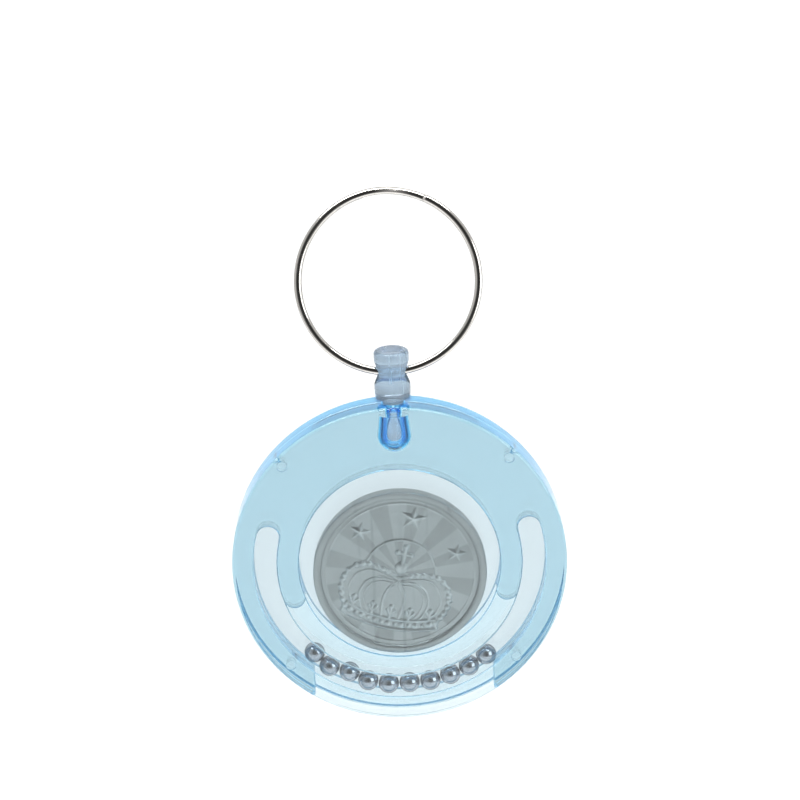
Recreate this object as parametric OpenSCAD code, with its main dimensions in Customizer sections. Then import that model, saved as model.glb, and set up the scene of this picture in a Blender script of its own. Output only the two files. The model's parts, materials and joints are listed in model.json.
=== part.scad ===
// Trick coin puzzle: a coin and ten steel balls shut in a clear disc that hangs on a split ring.
// The origin is the centre of the disc's flat rear face. +Z is up, and the front faces -Y.

/* [Case] */
// Radius of the clear disc
case_r = 24; // [23.6:0.1:25]
// Thickness of the two joined halves together
case_t = 6; // [6:0.1:6.6]
// Radius of the rounded outer edges
edge_r = 0.5; // [0.3:0.1:0.8]
// Depth of the pocket and the groove in each half
deep_cut = 1.75; // [1.65:0.05:1.8]
// Depth of the threshold and the exit in each half, too shallow for a ball
shallow_cut = 1.2; // [1.1:0.05:1.3]

/* [Pocket and groove] */
// Radius of the coin's round pocket
pocket_r = 14.6; // [14.4:0.1:14.8]
// Inner radius of the ball groove
groove_in = 17.5; // [17.3:0.1:17.5]
// Outer radius of the ball groove
groove_out = 21.1; // [21.1:0.1:21.3]
// Reach of the groove, in degrees from the bottom to the tip of each arm
groove_reach = 110; // [109:0.5:112]
// Where the wall between pocket and groove ends, in degrees from the bottom
finger_reach = 67.5; // [66:0.5:70]
// Width of the exit at the bottom of the rim
exit_w = 26.3; // [26:0.1:27]

/* [Joining posts] */
// Radius of the small posts that join the halves
post_r = 0.7; // [0.5:0.05:0.8]
// Distance of the posts from the centre
post_orbit = 22.4; // [22.3:0.1:22.5]
// Height of a post above the joint face
post_h = 1.5; // [1:0.1:2]
// Room round and above a post in its hole
post_room = 0.05; // [0.03:0.01:0.1]
// Angle of each post, in degrees from the bottom
post_angles = [-134, -47, 47, 134];

/* [Coin] */
// Radius of the coin
coin_r = 12.5; // [12.3:0.1:12.6]
// Thickness of the coin at its rim
coin_t = 1.85; // [1.7:0.05:2]
// Width of the coin's raised rim
coin_rim = 1.1; // [0.8:0.1:1.4]
// Depth of each face below the rim
coin_sunk = 0.28; // [0.2:0.02:0.34]
// Height of the ornament above the face
relief_h = 0.24; // [0.1:0.02:0.26]
// How far the coin rests below the centre of the disc
coin_drop = 1.8; // [1.7:0.05:2]
// Clockwise turn of the coin's ornament, in degrees
coin_turn = 15; // [0:1:40]
// Distance of the stars from the coin's centre
star_orbit = 8.6; // [8:0.1:8.8]
// Radius of the ring behind the crown
halo_r = 5.1; // [4.8:0.1:5.4]

/* [Balls] */
// Radius of a ball
ball_r = 1.5; // [1.45:0.01:1.5]
// Distance of most balls from the centre of the disc
ball_orbit = 19.55; // [19.5:0.01:19.55]
// Angle between neighbouring balls
ball_step = 8.95; // [8.9:0.05:9.2]
// Middle of the row of balls, in degrees right of the bottom
row_middle = -2.3; // [-3:0.1:0]

/* [Swivel plug] */
// Height of the plug's top above the centre of the disc
plug_top = 31.7; // [31.4:0.1:32]
// Radius of the plug's head, above the eye
head_r = 2.48; // [2.4:0.02:2.5]
// Radius of the plug's barrel, below the eye
barrel_r = 2.56; // [2.5:0.02:2.6]
// Height of the eye's axis above the centre of the disc
eye_z = 28.45; // [28.3:0.05:28.6]
// Radius of the eye in its middle
eye_r = 1.25; // [1.2:0.05:1.3]
// Radius of the eye where it opens out at the sides
eye_mouth_r = 1.8; // [1.6:0.05:1.9]
// Radius of the collar in the disc's mouth
collar_r = 1.5; // [1.4:0.05:1.55]
// Radius of the stem below the collar
stem_r = 0.93; // [0.85:0.01:1]
// Radius of the bulb that holds the plug in
bulb_r = 1.7; // [1.6:0.05:1.8]
// Height of the bulb's widest point
bulb_z = 19.7; // [19.6:0.05:19.8]

/* [Socket] */
// Radius of the mouth in the rim
mouth_r = 1.7; // [1.65:0.05:1.8]
// Radius of the lip round the stem
lip_r = 1.2; // [1.15:0.01:1.25]
// Top of the lip, above the centre of the disc
lip_top = 23.1; // [23:0.05:23.15]
// Bottom of the lip
lip_bottom = 22.4; // [22.35:0.05:22.45]
// Radius of the cavity just under the lip
neck_r = 2.1; // [2:0.05:2.2]
// Radius of the cavity at its widest
cavity_r = 2.45; // [2.3:0.05:2.5]
// Height of the cavity's widest point
cavity_z = 19.35; // [19.3:0.05:19.4]

/* [Split ring] */
// Outer diameter of the ring
ring_d = 26.5; // [25:0.1:28]
// Width of the flattened wire, from the inside of the ring to the outside
wire_w = 1.05; // [0.95:0.05:1.1]
// Thickness of the flattened wire
wire_t = 0.68; // [0.6:0.02:0.7]
// Gap between the two turns
turn_gap = 0.42; // [0.41:0.01:0.45]
// How far the ring leans back, in degrees
ring_lean = 19; // [0:1:30]
// Where the front turn starts, in degrees clockwise from the top
ring_start = 25; // [0:5:60]

/* [Hidden] */
$fn = 96;

body_blue = [0.66, 0.85, 0.93, 0.45];
plug_blue = [0.74, 0.84, 0.9, 0.8];
nickel = [0.82, 0.82, 0.8];
coin_grey = [0.56, 0.6, 0.6];
ball_steel = [0.72, 0.74, 0.75];

past = 1;
overlap = 0.5;
sink = 0.1;
groove_mid = (groove_in + groove_out) / 2;
groove_w = groove_out - groove_in;
finger_mid = (pocket_r + groove_in) / 2;
finger_w = groove_in - pocket_r;
arm_end = groove_reach - asin(groove_w / 2 / groove_mid);
finger_end = finger_reach + asin(finger_w / 2 / finger_mid);
exit_top = 15;

// Some balls rest a little nearer the disc's centre than the others
rest_inset = 0.5;
lead_inset = 0.15;

eye_waist = 1.1;
plug_round = 0.4;
waist_z = 28.2;
waist_half_h = 0.3;
swell_steps = 6;
// The head and the barrel both swell on a large bend: its middle height and its radius
head_bend = [31, 39];
barrel_bend = [26, 13.5];
barrel_bottom = 24.7;
collar_top = 24.3;
collar_bottom = 23.2;
stem_bottom = 22.1;
bulb_shoulder_r = 1.3;
bulb_shoulder_z = 21.4;

field_r = coin_r - coin_rim;
field_t = coin_t - 2 * coin_sunk;
halo_w = 0.35;
star_angles = [-55, 0, 57];
star_sizes = [1.7, 2.1, 1.7];
star_notch = 0.42;

// The crown's band lies between two arcs, and each arch is a smooth line through its corners
band_middle = [0, 10];
band_low_r = 18.8;
band_high_r = 17.3;
band_half_angle = 22;
arch_w = 0.45;
arches = [[[0.5, -0.6], [1.6, -0.2], [3.2, 0.25], [5.2, 0.4], [7.1, -0.8], [7.9, -3], [7.6, -4.8], [6.7, -6.6]],
          [[0.6, -1.4], [2.4, -1.2], [4.2, -2], [5, -3.7], [4.8, -5.4], [4, -7]],
          [[0.2, -1.4], [1.2, -2.8], [1.55, -4.6], [1.3, -7.3]]];
orb_r = 0.9;
orb_z = 0.75;
cross_foot = 1.4;
cross_top = 4.3;
cross_mid = 3;
cross_l = 2.2;
cross_w = 0.6;

ring_mid_r = ring_d / 2 - wire_w / 2;
turn_offset = (wire_t + turn_gap) / 2;
wire_chamfer = 0.2;
wire_step = 8;
wire_end = 680;
cross_from = 325;
cross_to = 355;

// A point on a circle round the disc's centre, with the angle counted from the bottom to the right
function from_bottom(radius, angle) = [radius * sin(angle), -radius * cos(angle)];

// A fan from the centre that opens to both sides of the bottom
function fan(half_angle) = concat([[0, 0]], [for (i = [-4:4]) from_bottom(2 * case_r, i * half_angle / 4)]);

function star(tips, outer, inner) =
    [for (i = [0:2 * tips - 1]) (i % 2 == 0 ? outer : inner) * [sin(i * 180 / tips), cos(i * 180 / tips)]];

// Moves a piece from the disc's own middle to its place in front of the rear face
module in_place() {
    translate([0, -case_t / 2, 0]) children();
}

// Stands a flat drawing up in the disc's plane, with its thickness towards the front
module upright() {
    rotate([90, 0, 0]) children();
}

module cut_down(depth) {
    translate([0, 0, -past]) linear_extrude(depth + past) children();
}

module ring_flat(inner, outer, half_angle) {
    intersection() {
        difference() {
            circle(outer);
            circle(inner);
        }
        polygon(fan(half_angle));
    }
}

// Space for the balls: a U-shaped groove with two arms that end in half circles
module groove_flat() {
    ring_flat(groove_in, groove_out, arm_end);
    for (side = [-1, 1])
        translate(from_bottom(groove_mid, side * arm_end)) circle(groove_w / 2);
}

// Low bridge between pocket and groove, with the rounded ends of the two fingers left standing
module threshold_flat() {
    difference() {
        ring_flat(pocket_r - overlap, groove_in + overlap, finger_end);
        for (side = [-1, 1])
            translate(from_bottom(finger_mid, side * finger_end)) circle(finger_w / 2);
    }
}

module exit_flat() {
    translate([-exit_w / 2, -case_r - past]) square([exit_w, case_r + past - exit_top]);
}

module half_blank() {
    rotate_extrude() {
        square([case_r - edge_r, case_t / 2]);
        square([case_r, case_t / 2 - edge_r]);
        translate([case_r - edge_r, case_t / 2 - edge_r]) circle(edge_r);
    }
}

// Everything that is cut into the joint face of either half
module half_cavity() {
    cut_down(deep_cut) circle(pocket_r);
    cut_down(deep_cut) groove_flat();
    cut_down(shallow_cut) threshold_flat();
    cut_down(shallow_cut) exit_flat();
}

module socket() {
    rotate_extrude() {
        intersection() {
            translate([0, cavity_z]) circle(cavity_r);
            translate([0, cavity_z - 2 * cavity_r]) square(4 * cavity_r);
        }
        polygon([[0, cavity_z], [cavity_r, cavity_z], [neck_r, lip_bottom], [lip_r, lip_bottom],
                 [lip_r, lip_top], [mouth_r, lip_top], [mouth_r, case_r + past], [0, case_r + past]]);
    }
}

module posts(radius, height) {
    for (angle = post_angles)
        translate(from_bottom(post_orbit, angle)) cylinder(r = radius, h = height);
}

module half() {
    upright() difference() {
        half_blank();
        half_cavity();
    }
}

module front_shell() {
    color(body_blue) in_place() difference() {
        half();
        socket();
        upright() translate([0, 0, -past]) posts(post_r + post_room, post_h + post_room + past);
    }
}

module rear_shell() {
    color(body_blue) in_place() {
        difference() {
            mirror([0, 1, 0]) half();
            socket();
        }
        upright() translate([0, 0, -past]) posts(post_r, post_h + past);
    }
}

// The outline of one swollen part of the plug, from one height up to another
function swell(radius, bend, low, high) =
    [for (i = [0:swell_steps])
        let (z = low + (high - low) * i / swell_steps)
        [radius - bend[1] + sqrt(bend[1] ^ 2 - (z - bend[0]) ^ 2), z]];

module plug_outline() {
    intersection() {
        translate([0, bulb_z]) circle(bulb_r);
        translate([0, bulb_z - 2 * bulb_r]) square(4 * bulb_r);
    }
    barrel = swell(barrel_r, barrel_bend, barrel_bottom, waist_z - waist_half_h);
    head = swell(head_r, head_bend, waist_z + waist_half_h, plug_top - plug_round);
    polygon(concat([[0, bulb_z], [bulb_r, bulb_z], [bulb_shoulder_r, bulb_shoulder_z], [stem_r, stem_bottom],
                    [stem_r, collar_bottom], [collar_r, collar_bottom], [collar_r, collar_top]],
                   barrel, head, [[head[swell_steps][0] - plug_round, plug_top], [0, plug_top]]));
}

// The eye is narrow in its middle and opens out to both sides
module eye() {
    translate([0, 0, eye_z]) rotate([0, 90, 0]) {
        cylinder(r = eye_r, h = 4 * head_r, center = true);
        for (side = [-1, 1])
            scale([1, 1, side]) translate([0, 0, eye_waist])
                cylinder(r1 = eye_r, r2 = eye_mouth_r, h = head_r - eye_waist + sink);
    }
}

module connector() {
    color(plug_blue) in_place() difference() {
        rotate_extrude() plug_outline();
        eye();
    }
}

// A smooth line through the corners
function smooth_path(corners) =
    let (last = len(corners) - 1)
    concat([for (i = [0:last - 1])
        let (a = corners[max(i - 1, 0)], b = corners[i], c = corners[i + 1], d = corners[min(i + 2, last)])
        for (t = [0, 0.25, 0.5, 0.75])
            (2 * b + (c - a) * t + (2 * a - 5 * b + 4 * c - d) * t ^ 2 + (3 * b - a - 3 * c + d) * t ^ 3) / 2],
        [corners[last]]);

// The point beside a path's point i, at a distance to its left
function beside(path, i, away) =
    let (along = path[min(i + 1, len(path) - 1)] - path[max(i - 1, 0)])
    path[i] + away * [-along[1], along[0]] / norm(along);

module stroke_flat(path, width) {
    last = len(path) - 1;
    polygon(concat([for (i = [0:last]) beside(path, i, width / 2)],
                   [for (i = [last:-1:0]) beside(path, i, -width / 2)]));
}

module mirrored() {
    children();
    mirror([1, 0]) children();
}

// The band bends upwards at its ends, like the rim of a real crown seen from a little above
module band_flat() {
    translate(band_middle) intersection() {
        difference() {
            circle(band_low_r);
            circle(band_high_r);
        }
        polygon(fan(band_half_angle));
    }
}

// A closed crown: pairs of arches that rise from the band and meet below an orb and a cross
module crown_flat() {
    band_flat();
    for (corners = arches)
        mirrored() stroke_flat(smooth_path(corners), arch_w);
    translate([0, orb_z]) circle(orb_r);
    translate([-cross_w / 2, cross_foot]) square([cross_w, cross_top - cross_foot]);
    translate([-cross_l / 2, cross_mid - cross_w / 2]) square([cross_l, cross_w]);
}

module stars_flat() {
    for (i = [0:len(star_angles) - 1])
        rotate(-star_angles[i]) translate([0, star_orbit])
            polygon(star(5, star_sizes[i], star_notch * star_sizes[i]));
}

// The ring behind the crown shows only above it
module halo_flat() {
    difference() {
        circle(halo_r);
        circle(halo_r - halo_w);
        translate([-coin_r, -2 * coin_r]) square(2 * coin_r);
        mirrored() polygon(concat([[0, 0], [0, -coin_r]],
                                  [for (i = [len(arches[0]) - 1:-1:0]) arches[0][i]]));
    }
}

module ornament_flat() {
    crown_flat();
    halo_flat();
    stars_flat();
}

module coin() {
    color(coin_grey) in_place() translate([0, 0, -coin_drop]) upright() {
        difference() {
            cylinder(r = coin_r, h = coin_t, center = true);
            for (side = [-1, 1])
                translate([0, 0, side * coin_t / 2]) cylinder(r = field_r, h = 2 * coin_sunk, center = true);
        }
        for (side = [0, 180])
            rotate([0, side, 0]) rotate(-coin_turn) translate([0, 0, field_t / 2 - sink])
                linear_extrude(relief_h + sink) ornament_flat();
    }
}

// Balls 1 and 3 ride a little nearer the centre than the rest, and ball 6 a very little
function ball_radius(number) =
    ball_orbit - (number == 1 || number == 3 ? rest_inset : number == 6 ? lead_inset : 0);

module ball(number) {
    row_centre = 5.5;
    angle = row_middle + (number - row_centre) * ball_step;
    color(ball_steel) in_place() upright() translate(from_bottom(ball_radius(number), angle)) sphere(ball_r);
}

// The flattened wire's section: half its sizes with the corners cut off
function wire_section() =
    let (w = wire_w / 2, t = wire_t / 2, c = wire_chamfer)
    [[w, t - c], [w - c, t], [c - w, t], [-w, t - c], [-w, c - t], [c - w, -t], [w - c, -t], [w, c - t]];

// How far the wire has crossed from the front turn to the rear one, from -1 to 1
function crossed(travel) =
    travel < cross_from ? -1 : travel > cross_to ? 1 :
    -cos(180 * (travel - cross_from) / (cross_to - cross_from));

function wire_ring(travel) =
    let (a = ring_start + travel)
    [for (p = wire_section())
        [(ring_mid_r + p[0]) * sin(a), turn_offset * crossed(travel) + p[1],
         ring_mid_r + (ring_mid_r + p[0]) * cos(a)]];

module key_ring() {
    sides = len(wire_section());
    rings = [for (travel = [0:wire_step:wire_end]) wire_ring(travel)];
    points = [for (r = rings) for (p = r) p];
    first_cap = [for (i = [1:sides - 2]) [0, i, i + 1]];
    last = (len(rings) - 1) * sides;
    last_cap = [for (i = [1:sides - 2]) [last, last + i + 1, last + i]];
    walls = [for (r = [0:len(rings) - 2]) for (i = [0:sides - 1])
        let (a = r * sides + i, b = r * sides + (i + 1) % sides)
        for (face = [[a, a + sides, b], [b, a + sides, b + sides]]) face];
    color(nickel) in_place() translate([0, 0, eye_z]) rotate([-ring_lean, 0, 0])
        polyhedron(points, concat(first_cap, last_cap, walls));
}

front_shell();
rear_shell();
connector();
key_ring();
coin();
ball(1);  // ball_01
ball(2);  // ball_02
ball(3);  // ball_03
ball(4);  // ball_04
ball(5);  // ball_05
ball(6);  // ball_06
ball(7);  // ball_07
ball(8);  // ball_08
ball(9);  // ball_09
ball(10);  // ball_10
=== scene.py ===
"""Dresses the trick coin puzzle: a clear blue disc with a coin and ten steel balls, on a split ring."""

import json
import math
from functools import partial

import bmesh
import bpy
import numpy as np
from mathutils import Matrix, Vector


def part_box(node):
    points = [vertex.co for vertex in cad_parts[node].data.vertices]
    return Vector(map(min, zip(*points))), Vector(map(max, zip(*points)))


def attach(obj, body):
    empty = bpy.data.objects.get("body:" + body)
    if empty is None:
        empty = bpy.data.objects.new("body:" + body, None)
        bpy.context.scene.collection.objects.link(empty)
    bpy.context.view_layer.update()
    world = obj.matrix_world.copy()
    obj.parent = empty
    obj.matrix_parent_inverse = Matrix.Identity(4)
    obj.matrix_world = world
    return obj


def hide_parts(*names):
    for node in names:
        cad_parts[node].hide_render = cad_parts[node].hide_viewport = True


bl_info = {
    "name": "Trick Coin Puzzle",
    "version": (1, 0, 0),
    "blender": (4, 5, 0),
    "location": "View3D > Sidebar > Coin Puzzle",
    "description": "Builds and dresses a clear disc puzzle with a coin, ten steel balls and a split ring",
    "category": "Add Mesh",
}

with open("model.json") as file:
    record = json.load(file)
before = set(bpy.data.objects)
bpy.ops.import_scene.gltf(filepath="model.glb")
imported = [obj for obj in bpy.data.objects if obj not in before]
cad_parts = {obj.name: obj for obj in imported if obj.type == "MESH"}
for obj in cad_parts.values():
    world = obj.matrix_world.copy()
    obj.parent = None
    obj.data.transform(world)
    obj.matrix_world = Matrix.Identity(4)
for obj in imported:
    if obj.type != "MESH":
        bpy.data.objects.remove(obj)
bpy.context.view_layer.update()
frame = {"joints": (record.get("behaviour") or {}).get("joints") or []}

MM = 0.001

BALLS = tuple(f"ball_{number:02d}" for number in range(1, 11))

# The disc's middle plane lies halfway between its two flat faces
disc_low, disc_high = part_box("front_shell")
rear_low, rear_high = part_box("rear_shell")
DISC_RADIUS = (disc_high.x - disc_low.x) / 2
DISC_THICKNESS = rear_high.y - disc_low.y
DISC_MIDDLE = Vector((0, disc_low.y + DISC_THICKNESS / 2, (disc_low.z + disc_high.z) / 2))

coin_low, coin_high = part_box("coin")
COIN_RADIUS = (coin_high.x - coin_low.x) / 2
COIN_THICKNESS = coin_high.y - coin_low.y
COIN_MIDDLE = (coin_low + coin_high) / 2

SWING_JOINT = next(joint for joint in frame["joints"] if joint["name"] == "plug_swing")
EYE = Vector(SWING_JOINT["pos_m"])


def length(name, description, millimetres):
    """A size that the sidebar shows as a length."""
    return bpy.props.FloatProperty(name=name, description=description, default=millimetres * MM,
                                   unit="LENGTH", precision=5)


def turn(name, description, degrees):
    """A size that the sidebar shows as an angle."""
    return bpy.props.FloatProperty(name=name, description=description, default=math.radians(degrees),
                                   subtype="ANGLE")


def tone(name, description, colour):
    """A colour that the sidebar shows as a swatch."""
    return bpy.props.FloatVectorProperty(name=name, description=description, default=colour,
                                         subtype="COLOR", size=3, min=0, max=1)


class CoinPuzzleSizes(bpy.types.PropertyGroup):
    """Sizes of the pieces that are modelled here, in metres."""

    groove_in: length("Groove inner radius", "Inner radius of the ball groove", 17.5)
    groove_out: length("Groove outer radius", "Outer radius of the ball groove", 21.1)
    groove_reach: turn("Groove reach", "Reach of the groove's arms from the bottom", 110)
    pocket: length("Pocket radius", "Radius of the coin's pocket", 14.6)
    finger_reach: turn("Finger reach", "Where the wall between pocket and groove ends, from the bottom", 67.5)
    exit_width: length("Exit width", "Width of the exit in the rim", 26.3)
    deep_cut: length("Deep cut", "Depth of the pocket and the groove in each half", 1.75)
    shallow_cut: length("Shallow cut", "Depth of the threshold and the exit in each half", 1.2)
    floor_fillet: length("Floor fillet", "Radius at the foot of the cut walls", 0.18)
    edge_radius: length("Edge radius", "Radius of the rounded outer edges", 0.5)
    joint_chamfer: length("Joint chamfer", "Chamfer at the rim where the halves meet", 0.05)
    joint_gap: length("Joint gap", "Air left between the two halves", 0.02)
    mouth: length("Mouth radius", "Radius of the socket's mouth in the rim", 1.7)
    lip: length("Lip radius", "Radius of the lip round the stem", 1.2)
    lip_top: length("Lip top", "Top of the lip above the disc's centre", 23.1)
    lip_bottom: length("Lip bottom", "Bottom of the lip above the disc's centre", 22.4)
    neck: length("Neck radius", "Radius of the cavity under the lip", 2.1)
    cavity: length("Cavity radius", "Radius of the cavity at its widest", 2.45)
    cavity_height: length("Cavity height", "Height of the cavity's widest point", 19.35)
    post_radius: length("Post radius", "Radius of the joining posts", 0.7)
    post_orbit: length("Post distance", "Distance of the posts from the centre", 22.4)
    post_height: length("Post height", "Height of a post above the joint face", 1.5)
    post_room: length("Post room", "Room round a post in its hole", 0.05)
    post_low: turn("Lower posts", "Angle of the lower posts from the bottom", 47)
    post_high: turn("Upper posts", "Angle of the upper posts from the bottom", 134)
    ring_outer: length("Ring diameter", "Outer diameter of the split ring", 26.5)
    wire_width: length("Wire width", "Width of the flattened wire", 1.05)
    wire_thickness: length("Wire thickness", "Thickness of the flattened wire", 0.68)
    turn_gap: length("Gap between turns", "Gap between the ring's two turns", 0.42)
    ring_lean: turn("Ring lean", "How far the ring leans back", 19)
    ring_start: turn("Ring start", "Start of the front turn, clockwise from the top", 25)
    coin_rim: length("Coin rim", "Width of the coin's raised rim", 1.1)
    coin_sunk: length("Coin face depth", "Depth of the coin's face below its rim", 0.28)
    relief_height: length("Relief height", "Height of the ornament above the face", 0.24)
    coin_turn: turn("Coin turn", "Clockwise turn of the coin's ornament", 15)


class CoinPuzzleColours(bpy.types.PropertyGroup):
    """Colours of the finishes."""

    shell_tint: tone("Shell tint", "Colour that the clear plastic takes on with depth", (0.256, 0.705, 0.854))
    # The colours from Faces to Socket are painted light, set face by face on the clear halves: the plain tone
    # of the flat faces, a lighter painted light on the shallow floors, a painted highlight on the rounded
    # edges, a blue painted light in the rim and round the socket, and a darker painted shade on the cut walls.
    face: tone("Faces", "Colour of the clear plastic's flat faces", (0.879, 0.87, 0.871))
    floor_light: tone("Smooth floors", "Colour of the shallow cuts' smoother floors", (0.96, 0.96, 0.96))
    rim: tone("Rim", "Colour that gathers in the disc's rim", (0.56, 0.82, 0.97))
    edge: tone("Edges", "Colour of the disc's rounded outer edges", (0.97, 1, 1))
    wall_shade: tone("Walls", "Colour that gathers in the walls of the cut forms", (0.2, 0.32, 0.42))
    socket: tone("Socket", "Colour that gathers round the plug's socket", (0.12, 0.45, 0.92))
    plug: tone("Plug", "Colour of the milky swivel plug", (0.355, 0.465, 0.565))
    nickel: tone("Nickel", "Colour of the plated wire", (0.64, 0.62, 0.59))
    coin: tone("Coin", "Colour of the coin's metal", (0.47, 0.475, 0.46))
    steel: tone("Balls", "Colour of the polished balls", (0.46, 0.47, 0.505))


# Materials
#
# A node's input is fed a plain value, or the output of another node, which is written as (node, output).

def new_material(name):
    """A material with a Principled shader: (material, node tree, shader)."""
    material = bpy.data.materials.new(name)
    material.use_nodes = True
    tree = material.node_tree
    return material, tree, tree.nodes["Principled BSDF"]


def feed(tree, value, target, name):
    """Sets a named input, or links it."""
    if isinstance(value, tuple) and isinstance(value[0], bpy.types.Node):
        source, output = value
        tree.links.new(source.outputs[output], target.inputs[name])
    else:
        target.inputs[name].default_value = value


def add_node(tree, kind, **inputs):
    """A new node with its named inputs fed."""
    node = tree.nodes.new(kind)
    for name, value in inputs.items():
        feed(tree, value, node, name.replace("_", " "))
    return node


def maths(tree, operation, *terms):
    """The output of a sum."""
    node = tree.nodes.new("ShaderNodeMath")
    node.operation = operation
    for slot, term in enumerate(terms):
        feed(tree, term, node, slot)
    return node, "Value"


def span(tree, value, low, high, to_low=0, to_high=1):
    """The stretch of a value from low to high, spread over another range."""
    node = add_node(tree, "ShaderNodeMapRange", Value=value, From_Min=low, From_Max=high,
                    To_Min=to_low, To_Max=to_high)
    return node, "Result"


def mix(tree, low, high, factor, kind="MIX"):
    """A mix of two colours."""
    node = tree.nodes.new("ShaderNodeMix")
    node.data_type = "RGBA"
    node.blend_type = kind
    for name, value in (("A", low), ("B", high), ("Factor", factor)):
        feed(tree, value, node, name)
    return node, "Result"


def attribute(tree, name, output="Fac"):
    """What the mesh says about each of its points or faces under this name."""
    node = tree.nodes.new("ShaderNodeAttribute")
    node.attribute_name = name
    return node, output


WHITE = (1, 1, 1)


def shade(colour, factor=1):
    """A lighter or darker tone of a colour, with full alpha."""
    return (*(min(1, c * factor) for c in colour), 1)


WEAR = "handling wear"
SCRATCH_TURNS = ((0.3, 0.1, 0.5), (-0.6, 0.2, -0.9))
SCRATCH_STRETCH = (1, 1, 0.04)
SCRATCH_SHARE = (0.64, 0.72)
MARK_SHARE = (0.4, 0.7)
MARK_DEPTH = 0.5


def wear_group():
    """Fine scratches and handling marks, shared by every finish: a mask, and a height for bump."""
    group = bpy.data.node_groups.new(WEAR, "ShaderNodeTree")
    for name in ("Scratch Scale", "Mark Scale"):
        group.interface.new_socket(name=name, in_out="INPUT", socket_type="NodeSocketFloat")
    for name in ("Marks", "Height"):
        group.interface.new_socket(name=name, in_out="OUTPUT", socket_type="NodeSocketFloat")
    scales = group.nodes.new("NodeGroupInput")
    place = (group.nodes.new("ShaderNodeTexCoord"), "Object")
    scratches = []
    for turned in SCRATCH_TURNS:
        aim = add_node(group, "ShaderNodeMapping", Vector=place, Rotation=turned, Scale=SCRATCH_STRETCH)
        lines = add_node(group, "ShaderNodeTexNoise", Vector=(aim, "Vector"), Scale=(scales, "Scratch Scale"),
                         Detail=2)
        scratches.append(span(group, (lines, "Fac"), *SCRATCH_SHARE))
    both = maths(group, "MAXIMUM", *scratches)
    smudge = add_node(group, "ShaderNodeTexNoise", Vector=place, Scale=(scales, "Mark Scale"), Detail=4,
                      Roughness=0.6)
    patches = span(group, (smudge, "Fac"), *MARK_SHARE, 0, MARK_DEPTH)
    marks = maths(group, "ADD", both, patches)
    marks[0].use_clamp = True
    add_node(group, "NodeGroupOutput", Marks=marks, Height=both)
    return group


def worn(tree, scratch_scale, mark_scale):
    """The shared wear in a material, at its own scales: (marks, height)."""
    wear = tree.nodes.new("ShaderNodeGroup")
    wear.node_tree = bpy.data.node_groups.get(WEAR) or wear_group()
    feed(tree, scratch_scale, wear, "Scratch Scale")
    feed(tree, mark_scale, wear, "Mark Scale")
    return (wear, "Marks"), (wear, "Height")


def bump(tree, shader, height, distance, strength):
    """Relief that is too fine for the mesh."""
    relief = add_node(tree, "ShaderNodeBump", Height=height, Strength=strength, Distance=distance)
    feed(tree, (relief, "Normal"), shader, "Normal")


TINT_DENSITY = 165
PLASTIC_DULLEST = 0.03

# Light that is still caught between the plastic's faces after this many reflections would come out in the end
LAST_BOUNCE = 4
TRAPPED_LIGHT = 0.8


def clear_plastic(tint):
    """Clear moulded plastic that turns bluer with depth, with painted light: each face's painted colour stands
    in for light gathered in the plastic, and glows once light has bounced LAST_BOUNCE times.
    """
    material, tree, shader = new_material("clear blue plastic")
    painted_light = attribute(tree, "painted_light", "Color")
    feed(tree, painted_light, shader, "Base Color")
    shader.inputs["IOR"].default_value = 1.5
    shader.inputs["Transmission Weight"].default_value = 1
    depth = add_node(tree, "ShaderNodeVolumeAbsorption", Color=shade(tint), Density=TINT_DENSITY)
    feed(tree, (depth, "Volume"), tree.nodes["Material Output"], "Volume")
    path = tree.nodes.new("ShaderNodeLightPath")
    # Painted glow: light still caught after LAST_BOUNCE reflections comes out as the face's painted light
    # colour
    trapped = maths(tree, "GREATER_THAN", (path, "Glossy Depth"), LAST_BOUNCE - 0.5)
    feed(tree, mix(tree, shade(WHITE, 0), painted_light, trapped), shader, "Emission Color")
    shader.inputs["Emission Strength"].default_value = TRAPPED_LIGHT
    material.cycles.emission_sampling = "NONE"
    marks, height = worn(tree, scratch_scale=500, mark_scale=45)
    feed(tree, span(tree, marks, 0, 1, to_high=PLASTIC_DULLEST), shader, "Roughness")
    bump(tree, shader, height, distance=0.002 * MM, strength=0.15)
    return material


CLOUD_TONES = (0.88, 1.25)
# Painted light: the plug's bulb, stem and the part round its hole are painted this much paler
PLUG_LIGHT_TONE = 1.75
CLOUD_ROUGHNESS = (0.1, 0.3)


def milky_plastic(colour):
    """Cloudy plastic that lets a little light through, painted paler as painted light on its bulb and stem and
    towards its hole.
    """
    material, tree, shader = new_material("milky plug plastic")
    shader.inputs["IOR"].default_value = 1.45
    shader.inputs["Transmission Weight"].default_value = 0.8
    marks = worn(tree, scratch_scale=1400, mark_scale=420)[0]
    dim, bright = (shade(colour, factor) for factor in CLOUD_TONES)
    cloud = mix(tree, dim, bright, marks)
    feed(tree, mix(tree, cloud, shade(colour, PLUG_LIGHT_TONE), attribute(tree, "painted_plug_light")), shader, "Base Color")
    feed(tree, span(tree, marks, 0, 1, *CLOUD_ROUGHNESS), shader, "Roughness")
    return material


EDGE_TINT = (0.35, 0.35, 0.35, 1)
WORN_TONE = 0.85
WORN_ROUGHNESS = 0.14


def bright_metal(name, colour, polish, scratch_scale, mark_scale):
    """Plated or polished metal with fine wear, a little darker where it turns away."""
    material, tree, shader = new_material(name)
    shader.inputs["Metallic"].default_value = 1
    shader.inputs["Specular Tint"].default_value = EDGE_TINT
    marks, height = worn(tree, scratch_scale, mark_scale)
    feed(tree, mix(tree, shade(colour), shade(colour, WORN_TONE), marks), shader, "Base Color")
    feed(tree, span(tree, marks, 0, 1, polish, polish + WORN_ROUGHNESS), shader, "Roughness")
    bump(tree, shader, height, distance=0.004 * MM, strength=0.3)
    return material


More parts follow.
